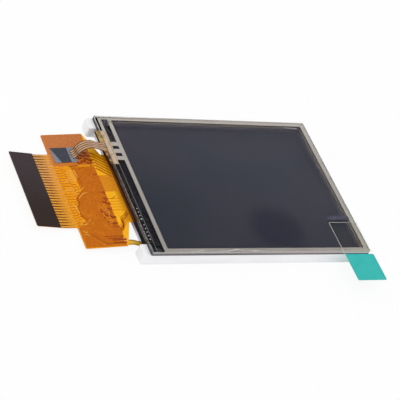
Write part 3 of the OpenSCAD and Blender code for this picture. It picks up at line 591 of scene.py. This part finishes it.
tree, shader, place = finish_named("tinned_solder", 0.35, Metallic=0.3)
spots = cloud(tree, place, 0.18 * MM, 4)
coloured(tree, shader, mottled(tree, spots, shade(196, 132, 92), shade(222, 168, 132)))
relief(tree, shader, spots, 0.01 * MM)
lamp_ends = [(-32.5, -15.0, 0.4, 0.3), (-32.5, -15.8, 0.4, 0.34)]
pads("tinned_pads", tree, lamp_ends, 0.06)


# ---- Bare contacts ----
# Gold plated fingers under the free end of the tail, faintly scuffed along their length where a
# socket's springs have wiped them.

tree, shader, place = finish_named("gold_plate", 0.2, Metallic=1.0)
scuffs = cloud(tree, place, 0.3 * MM, 4, (0.2, 1, 1))
coloured(tree, shader, mottled(tree, scuffs, shade(226, 176, 84), shade(246, 206, 122)),
         uneven(tree, scuffs, 0.15, 0.32))
relief(tree, shader, scuffs, 0.004 * MM)
dress(tree, "tail_contacts")


# ---- Tail stiffener ----
# Hard dark brown film glued on the end of the tail, with a faint violet painted sheen towards the
# back, a painted reflection, and fine dust on it.

tree, shader, place = finish_named("brown_stiffener", 0.35, Specular_IOR_Level=0.12)
y = axes(tree, place)[1]
dust = cloud(tree, place, 0.22 * MM, 4)
# Painted reflection: a violet sheen towards the back.
painted_sheen = maths(tree, "ADD", y, maths(tree, "MULTIPLY", cloud(tree, place, 5 * MM, 1), 6 * MM))
tone = mixed(tree, stepped(tree, painted_sheen, -4 * MM, 12 * MM), shade(38, 20, 16), shade(54, 42, 48))
dusty = mottled(tree, dust, (0, 0, 0, 1), (0.06, 0.06, 0.06, 1), 0.4, 0.8)
coloured(tree, shader, mixed(tree, dusty, tone, shade(110, 96, 92)), uneven(tree, dust, 0.22, 0.36))
relief(tree, shader, dust, 0.008 * MM)
dress(tree, "tail_stiffener")


# ---- Chip capacitors ----
# Five small brown ceramic parts with tinned ends. They are soldered in a row under the broad part
# of the flex, near the neck.

tree, shader, place = finish_named("ceramic_and_tin", 0.4)
row_x = sum(corner.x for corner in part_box("chip_capacitor_3")) / 2
from_row = apart(tree, axes(tree, place)[0], row_x)
tin_start = 0.26 * MM
tin_full = 0.3 * MM
specks = cloud(tree, place, 0.06 * MM, 4)
brown = mottled(tree, specks, shade(128, 92, 62), shade(158, 120, 86))
tin = mottled(tree, specks, shade(184, 184, 186), shade(222, 222, 224))
coloured(tree, shader, mixed(tree, stepped(tree, from_row, tin_start, tin_full), brown, tin),
         stepped(tree, from_row, tin_start, tin_full, 0.5, 0.25))
relief(tree, shader, specks, 0.006 * MM)
dress(tree, *[f"chip_capacitor_{i}" for i in range(1, 6)])


# ---- Touch panel ----
# Clear sheet of glass with ground grey edges, a ring of adhesive, a hard coated film on top and
# silver ink printed under that film as a border and two lines beside the window.

def clear_sheet(name, gloss, tint=(1, 1, 1, 1)):
    """See-through sheet, glossy at low angles; its cut edges take the colour of the shader."""
    tree, shader, place = finish_named(name, 0.3)
    surface = node(tree, "NewGeometry")
    face = stepped(tree, maths(tree, "ABSOLUTE", node(tree, "SeparateXYZ", {0: surface["Normal"]})[2]),
                   0.5, 0.7)
    clear = node(tree, "BsdfTransparent", {"Color": tint})[0]
    mirror = node(tree, "BsdfGlossy", {"Roughness": 0.04})[0]
    shine = stepped(tree, node(tree, "Fresnel", {"IOR": 1.45})[0], 0.09, 1.0, 0.0, gloss)
    shine = maths(tree, "SUBTRACT", shine, maths(tree, "MULTIPLY", surface["Backfacing"], shine))
    sheet = node(tree, "MixShader", {0: shine, 1: clear, 2: mirror})[0]
    whole = node(tree, "MixShader", {0: face, 1: shader.outputs[0], 2: sheet})[0]
    tree.links.new(whole, tree.nodes["Material Output"].inputs[0])
    return tree, shader, place


def facing_back(tree):
    """Share of a sheet's cut edge that faces the back."""
    return stepped(tree, facing(tree)[1], 0.5, 0.7)


def facing_flex(tree):
    """Share of a sheet's cut edge that faces the flex."""
    return stepped(tree, facing(tree)[0], -0.7, -0.5, 1.0, 0.0)


tree, shader, place = clear_sheet("touch_glass_clear", 0.0)
x, _, z = axes(tree, place)
chips = cloud(tree, place, 0.35 * MM, 3, (1, 1, 2))
# Painted highlight: the upper half of the ground edge is lighter towards the free end and white near it.
highlit_upper_half = mixed(tree, stepped(tree, x, -6 * MM, 12 * MM),
                   mottled(tree, chips, shade(128, 119, 118), shade(152, 142, 140)),
                   mottled(tree, chips, shade(176, 160, 158), shade(204, 188, 186)))
highlit_upper_half = mixed(tree, stepped(tree, x, 21 * MM, 24 * MM), highlit_upper_half, shade(236, 234, 236))
lower_half = mottled(tree, chips, shade(44, 42, 48), shade(62, 60, 66))
middle_z = panel_low.z + 0.34 * MM
ground_side = mixed(tree, stepped(tree, z, middle_z, middle_z + 0.08 * MM), lower_half, highlit_upper_half)
back_side = mottled(tree, chips, shade(168, 163, 160), shade(198, 194, 191))
flex_side = ramp(tree, chips, [(0.3, shade(22, 22, 26)), (0.6, shade(44, 42, 44)),
                               (0.68, shade(170, 168, 170))])
sides = mixed(tree, facing_back(tree), ground_side, back_side)
coloured(tree, shader, mixed(tree, facing_flex(tree), sides, flex_side))
dress(tree, "touch_glass")

tree, shader, place = clear_sheet("adhesive_clear", 0.0)
grain = cloud(tree, place, 0.6 * MM, 3, (1, 1, 5))
dark_side = mottled(tree, grain, shade(64, 58, 58), shade(90, 84, 82))
back_side = mottled(tree, grain, shade(168, 163, 160), shade(198, 194, 191))
coloured(tree, shader, mixed(tree, facing_back(tree), dark_side, back_side))
dress(tree, "touch_spacer")

tree, shader, place = clear_sheet("touch_film_clear", 0.0)
grain = cloud(tree, place, 0.6 * MM, 3, (1, 1, 5))
fleck = cloud(tree, place, 0.3 * MM, 3)
pale_side = mottled(tree, grain, shade(186, 182, 178), shade(222, 220, 218))
flex_side = mottled(tree, fleck, shade(38, 36, 38), shade(178, 174, 176), 0.5, 0.58)
coloured(tree, shader, mixed(tree, facing_flex(tree), pale_side, flex_side))
dress(tree, "touch_film")

# The silver is painted brighter towards the back and the free end, as painted light. It thins to a
# fine dark line beside the window, and is stained beige beside the bonded end of the touch tail.

tree, shader, place = finish_named("silver_ink", 0.45, Metallic=0.25)
x, y, _ = axes(tree, place)
flakes = cloud(tree, place, 0.12 * MM, 5)
waves = mottled(tree, cloud(tree, place, 3 * MM, 2, (0.5, 0.5, 1)), (0, 0, 0, 1), (0.3, 0.3, 0.3, 1), 0.35)
silver = mixed(tree, flakes, shade(138, 132, 126), shade(158, 151, 145))
silver = mixed(tree, waves, silver, shade(172, 168, 163))
# Painted light: the silver is lighter towards the back and the free end.
painted_light_share = maths(tree, "MAXIMUM", stepped(tree, y, -18 * MM, 20 * MM),
             stepped(tree, x, 20 * MM, 29 * MM, 0.0, 0.6))
silver = mixed(tree, painted_light_share, silver, shade(178, 171, 164))
line_right = -26.7 * MM
line_back = 6.9 * MM
line_front = -20.7 * MM
fine_line = every(tree, stepped(tree, x, line_right - 0.1 * MM, line_right, 0.75, 0.0),
                  stepped(tree, y, line_back, line_back + 0.3 * MM, 1.0, 0.0),
                  stepped(tree, y, line_front - 0.2 * MM, line_front))
silver = mixed(tree, fine_line, silver, shade(84, 82, 86))
seal_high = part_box("touch_tail")[1]
seal_front = 5.7 * MM
beside_seal = every(tree, stepped(tree, y, seal_front, seal_front + 0.3 * MM),
                    stepped(tree, y, seal_high.y - 0.1 * MM, seal_high.y + 0.2 * MM, 1.0, 0.0),
                    stepped(tree, x, seal_high.x + 0.3 * MM, seal_high.x + 0.8 * MM, 0.8, 0.0))
beige = ramp(tree, cloud(tree, place, 0.8 * MM, 3), [(0.35, shade(152, 136, 116)),
                                                     (0.5, shade(182, 168, 152)),
                                                     (0.65, shade(196, 156, 140))])
coloured(tree, shader, mixed(tree, beside_seal, silver, beige))
relief(tree, shader, flakes, 0.006 * MM)
dress(tree, "silver_print")

# Plain registration dots printed in a row on the black strip beside the window. The fourth is
# drawn out, and a wider gap follows it.

tree, shader, place = finish_named("white_dot_ink", 0.5, Specular_IOR_Level=0.3)
speck = cloud(tree, place, 0.1 * MM, 3)
coloured(tree, shader, mottled(tree, speck, shade(196, 196, 200), shade(226, 226, 230)))
dot_x, first_dot_y, dot_pitch, wide_gap = -27.4 * MM, -7.9 * MM, 1.06 * MM, 0.7 * MM
dot_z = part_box("silver_print")[1].z - 0.015 * MM
long_dot = 3
build = bmesh.new()
for i in range(9):
    dot_y = first_dot_y - dot_pitch * i - (wide_gap if i > long_dot else 0)
    stretch = Matrix.Diagonal((1.9 if i == long_dot else 1.0, 1, 1, 1))
    bmesh.ops.create_circle(build, cap_ends=True, segments=20, radius=0.13 * MM,
                            matrix=Matrix.Translation((dot_x, dot_y, dot_z)) @ stretch)
finished("dot_row", build, tree, 0.01 * MM)

# Dark ink that fills the slot in the silver's corner.

tree, shader, place = finish_named("dark_ink", 0.5, Specular_IOR_Level=0.0)
speck = cloud(tree, place, 0.3 * MM, 3)
coloured(tree, shader, mottled(tree, speck, shade(12, 12, 15), shade(24, 23, 27)))
slot_line = bent(0.58, (-27.83, 16.6), (-27.83, 20.7))
laid("slot_ink", tree, [slot_line], ("touch_spacer",))

# Painted highlights on the film's cut edges: bright at the back corner, speckled along the rest of the
# side by the flex, and a dull line inside the back border that turns bright near the free end.

edge_x = -28.29

# Painted highlight: a bright line along the film's edge at the back corner.
tree, shader, place = finish_named("bright_cut", 0.3, Specular_IOR_Level=0.4)
speck = cloud(tree, place, 0.5 * MM, 3, (1, 0.5, 1))
coloured(tree, shader, mottled(tree, speck, shade(208, 205, 204), shade(240, 239, 238), 0.3, 0.6))
back_corner = [bent(0.12, (edge_x, 16.8), (edge_x, 20.9)),
               [(-27.9, 21.07, 0.28), (-20, 21.07, 0.28), (-14, 21.08, 0.26), (-9, 21.14, 0.12),
                (-4, 21.18, 0.04)]]
laid("panel_glint", tree, back_corner, ("touch_film",))

# Painted highlight: white specks on a dark line along the film's edge by the flex.
tree, shader, place = finish_named("speckled_cut", 0.5, Specular_IOR_Level=0.1)
speck = cloud(tree, place, 0.28 * MM, 3)
coloured(tree, shader, mottled(tree, speck, shade(30, 29, 32), shade(196, 194, 196), 0.5, 0.6))
flex_line = bent(0.1, (edge_x, -20.9), (edge_x, 5.6))
laid("flex_side_glint", tree, [flex_line], ("touch_film",))

# Painted highlight: a dull line inside the back border that turns bright near the free end.
tree, shader, place = finish_named("border_glint", 0.3, Specular_IOR_Level=0.2)
speck = cloud(tree, place, 1.2 * MM, 3, (1, 0.5, 1))
dull = mottled(tree, speck, shade(84, 80, 88), shade(118, 115, 126), 0.4, 0.6)
bright = mottled(tree, speck, shade(158, 156, 168), shade(204, 202, 212), 0.3, 0.6)
bright_x = 23.4 * MM
by_free_end = stepped(tree, axes(tree, place)[0], bright_x, bright_x + 0.8 * MM)
coloured(tree, shader, mixed(tree, by_free_end, dull, bright))
border_line = [(-16, 19.4, 0.03), (8, 19.3, 0.06), (22, 19.32, 0.1), (24.7, 19.3, 0.2), (27.5, 19.12, 0.12)]
laid("back_glint", tree, [border_line], ("touch_film",))


# ---- Touch tail ----
# Thin brown film that arches from the panel down to the main flex, with four silver conductors.
# Its mottled beige end is heat bonded between the glass and the film, and stands out of the panel
# as a golden strip.

tree, shader, place = finish_named("brown_tail_film", 0.22, Specular_IOR_Level=0.3)
x, y, z = axes(tree, place)
silk = cloud(tree, place, 0.4 * MM, 3, (0.3, 1, 1))
blotch = cloud(tree, place, 1.1 * MM, 3)
arch = mottled(tree, silk, shade(104, 66, 30), shade(132, 88, 46))
strip = ramp(tree, blotch, [(0.35, shade(126, 94, 40)), (0.5, shade(178, 146, 76)),
                            (0.65, shade(200, 170, 104))])
bonded = ramp(tree, blotch, [(0.32, shade(158, 128, 84)), (0.5, shade(200, 180, 150)),
                             (0.68, shade(208, 160, 140))])
foot = ramp(tree, blotch, [(0.4, shade(74, 44, 18)), (0.52, shade(124, 82, 40)), (0.64, shade(178, 136, 80))])
foot_y = 11.2 * MM
flange = mixed(tree, stepped(tree, y, foot_y, foot_y + 2 * MM), foot, strip)
panel_left = panel_low.x
flange_z = 3.34 * MM
on_flange = every(tree, stepped(tree, z, flange_z, flange_z + 0.04 * MM),
                  stepped(tree, x, panel_left - 1.12 * MM, panel_left - 1.0 * MM))
outside = mixed(tree, on_flange, arch, flange)
inside = stepped(tree, x, panel_left - 0.1 * MM, panel_left + 0.05 * MM)
coloured(tree, shader, mixed(tree, inside, outside, bonded))
relief(tree, shader, silk, 0.008 * MM)
dress(tree, "touch_tail")

tree, shader, place = finish_named("tail_conductors", 0.28, Metallic=0.5)
silk = cloud(tree, place, 0.3 * MM, 3, (0.2, 1, 1))
coloured(tree, shader, mottled(tree, silk, shade(178, 142, 108), shade(214, 180, 146)))
relief(tree, shader, silk, 0.005 * MM)
dress(tree, "touch_tail_conductors")

# The grey patch that bonds the tail's foot to the main flex has a paler strip where the conductors
# enter, and a slanting reflection.

tree, shader, place = finish_named("slate_patch", 0.2, Specular_IOR_Level=0.3)
x, y, _ = axes(tree, place)
patch_low, patch_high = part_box("touch_tail_patch")
fleck = cloud(tree, place, 0.5 * MM, 3)
dark = mottled(tree, fleck, shade(40, 44, 56), shade(54, 58, 70))
pale = mottled(tree, fleck, shade(112, 116, 130), shade(134, 138, 150))
slant = maths(tree, "ADD", x, maths(tree, "MULTIPLY", y, 0.35))
reflection_x = patch_low.x + 4.35 * MM
reflection = stepped(tree, slant, reflection_x, reflection_x + 0.3 * MM, 1.0, 0.0)
strip_x = patch_high.x - 1.7 * MM
strip = stepped(tree, x, strip_x, strip_x + 0.15 * MM)
coloured(tree, shader, mixed(tree, maths(tree, "MAXIMUM", reflection, strip), dark, pale))
relief(tree, shader, fleck, 0.01 * MM)
dress(tree, "touch_tail_patch")


# ---- Protective film and pull tab ----
# Thin clear film that clings to the whole panel until the module is fitted, and a clear tape with
# a teal tab to pull it off by.

for name, sheet, tint in (("film_clear", "protective_film", (1, 1, 1, 1)),
                          ("tape_clear", "pull_tape", (0.985, 0.993, 0.975, 1))):
    tree, shader, place = clear_sheet(name, 0.6, tint)
    grain = cloud(tree, place, 0.6 * MM, 3, (1, 1, 5))
    coloured(tree, shader, mottled(tree, grain, shade(218, 218, 214), shade(246, 246, 240)))
    dress(tree, sheet)

# The cut edge of the tape catches the light as a fine bright line, with a rounded corner.

tree, shader, place = finish_named("bright_edge", 0.25, Specular_IOR_Level=0.5)
glow = cloud(tree, place, 1.5 * MM, 2)
coloured(tree, shader, mottled(tree, glow, shade(206, 206, 200), shade(244, 244, 240)))
low, high = (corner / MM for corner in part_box("pull_tape"))
panel_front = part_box("touch_film")[0].y / MM
window_right = 28.7
tape_line = [(low.x + 0.07, panel_front + 0.05, 0.07), (low.x + 0.07, high.y - 0.45, 0.07),
             (low.x + 0.2, high.y - 0.2, 0.09), (low.x + 0.45, high.y - 0.08, 0.08),
             (window_right, high.y - 0.08, 0.05)]
laid("tape_edge", tree, [tape_line], ("pull_tape",))

# Painted highlights where the protective film is lifted in small ripples along its front edge.

tree, shader, place = finish_named("film_highlight", 0.2, Specular_IOR_Level=0.5)
glow = cloud(tree, place, 1.2 * MM, 2)
coloured(tree, shader, mottled(tree, glow, shade(196, 196, 196), shade(240, 240, 240)))
# Painted highlight: bright strips where the film's edge catches the light.
ripple_highlights = [[(-18.6, -20.96, 0.04), (-16.4, -20.86, 0.14), (-15, -20.82, 0.04)],
          [(-12.4, -21.04, 0.04), (-9, -20.96, 0.1), (-7.6, -20.7, 0.14), (-6.6, -20.52, 0.3),
           (-5.6, -20.7, 0.14), (-4.4, -20.95, 0.05)],
          [(-4, -20.86, 0.04), (-2, -20.92, 0.16), (1.6, -20.96, 0.04)]]
laid("film_ripple_highlight", tree, ripple_highlights, ("protective_film",))

# A faint bluish painted reflection on the protective film beside the tape's end, where the film bulges.

tree, shader, place = finish_named("film_smear", 0.4, Specular_IOR_Level=0.0)
haze = cloud(tree, place, 0.9 * MM, 3)
coloured(tree, shader, mottled(tree, haze, shade(70, 69, 82), shade(92, 91, 110)))
# Painted reflection: a soft lighter bluish band where the film bulges.
bulge_line = [(22.5, -10.9, 0.3), (23.1, -10.8, 0.9), (24.2, -10.7, 1.15), (26.4, -10.65, 1.3),
         (27.8, -10.7, 1.25), (28.75, -10.8, 1.1)]
laid("film_bulge_highlight", tree, [bulge_line], ("protective_film",), LOW_LIFT)

tree, shader, place = finish_named("teal_film", 0.35, Specular_IOR_Level=0.2)
haze = cloud(tree, place, 2.2 * MM, 3)
fine = cloud(tree, place, 0.2 * MM, 4)
coloured(tree, shader, mottled(tree, haze, shade(38, 180, 174), shade(48, 187, 180)),
         uneven(tree, fine, 0.26, 0.42))
relief(tree, shader, fine, 0.006 * MM)
dress(tree, "pull_tab")


# ---- Table, light and camera ----
# Plain pale table under a soft white studio sky, with one broad lamp to the left. Table and sky
# look white themselves, and light the part at a plain level.

def seen_itself(tree):
    """Share of rays that show a surface, straight, mirrored or through glass, and don't light one."""
    rays = node(tree, "LightPath")
    bent_rays = maths(tree, "MAXIMUM", rays["Is Glossy Ray"], rays["Is Transmission Ray"])
    return maths(tree, "MAXIMUM", rays["Is Camera Ray"], bent_rays)


table_mesh = bpy.data.meshes.new("table")
build = bmesh.new()
bmesh.ops.create_grid(build, x_segments=2, y_segments=2, size=1.5)
build.to_mesh(table_mesh)
build.free()
table = bpy.data.objects.new("table", table_mesh)
bpy.context.scene.collection.objects.link(table)
table.location.z = cad_box[0].z - 0.02 * MM
tree, shader, place = finish_named("pale_table", 0.9, Specular_IOR_Level=0.1)
soft_white = mottled(tree, cloud(tree, place, 40 * MM), shade(246, 246, 246), shade(250, 250, 250))
coloured(tree, shader, soft_white)
glow = node(tree, "Emission", {"Color": (1, 1, 1, 1), "Strength": 1.0})[0]
share = maths(tree, "MULTIPLY", seen_itself(tree), 0.9)
whole = node(tree, "MixShader", {0: share, 1: shader.outputs[0], 2: glow})[0]
tree.links.new(whole, tree.nodes["Material Output"].inputs[0])
table_mesh.materials.append(dress(tree))

world = bpy.data.worlds.new("studio")
bpy.context.scene.world = world
world.use_nodes = True
tree = world.node_tree
level = node(tree, "MapRange", {0: seen_itself(tree), 1: 0.0, 2: 1.0, 3: 0.9, 4: 1.0})[0]
sky = tree.nodes["Background"]
sky.inputs["Color"].default_value = (1, 1, 1, 1)
tree.links.new(level, sky.inputs["Strength"])

lamp_data = bpy.data.lights.new("key", "AREA")
lamp_data.size = 0.4
lamp_data.energy = 0.25
lamp = bpy.data.objects.new("key", lamp_data)
bpy.context.scene.collection.objects.link(lamp)
lamp.location = (-0.25, 0.1, 0.42)
lamp.rotation_mode = "QUATERNION"
lamp.rotation_quaternion = lamp.location.to_track_quat("Z", "Y")

azimuth, elevation, roll = math.radians(-40.895), math.radians(38.843), math.radians(29.073)
aim = Vector((-7.095, -1.83, 0))
distance = 417.349
back = Vector((math.sin(azimuth) * math.cos(elevation), -math.cos(azimuth) * math.cos(elevation),
               math.sin(elevation)))
right = Vector((0, 0, 1)).cross(back).normalized()
top = back.cross(right)
side = math.cos(roll) * right + math.sin(roll) * top
head = math.cos(roll) * top - math.sin(roll) * right
camera_data = bpy.data.cameras.new("camera")
camera_data.lens = 162
camera_data.sensor_width = 36
camera_data.clip_start = 0.01
camera_data.clip_end = 10
camera = bpy.data.objects.new("camera", camera_data)
bpy.context.scene.collection.objects.link(camera)
camera.matrix_world = Matrix((side, head, back)).transposed().to_4x4()
camera.location = aim * MM + back * distance * MM
bpy.context.scene.camera = camera
bpy.context.scene.view_settings.view_transform = "Standard"
bpy.context.scene.cycles.transparent_max_bounces = 32
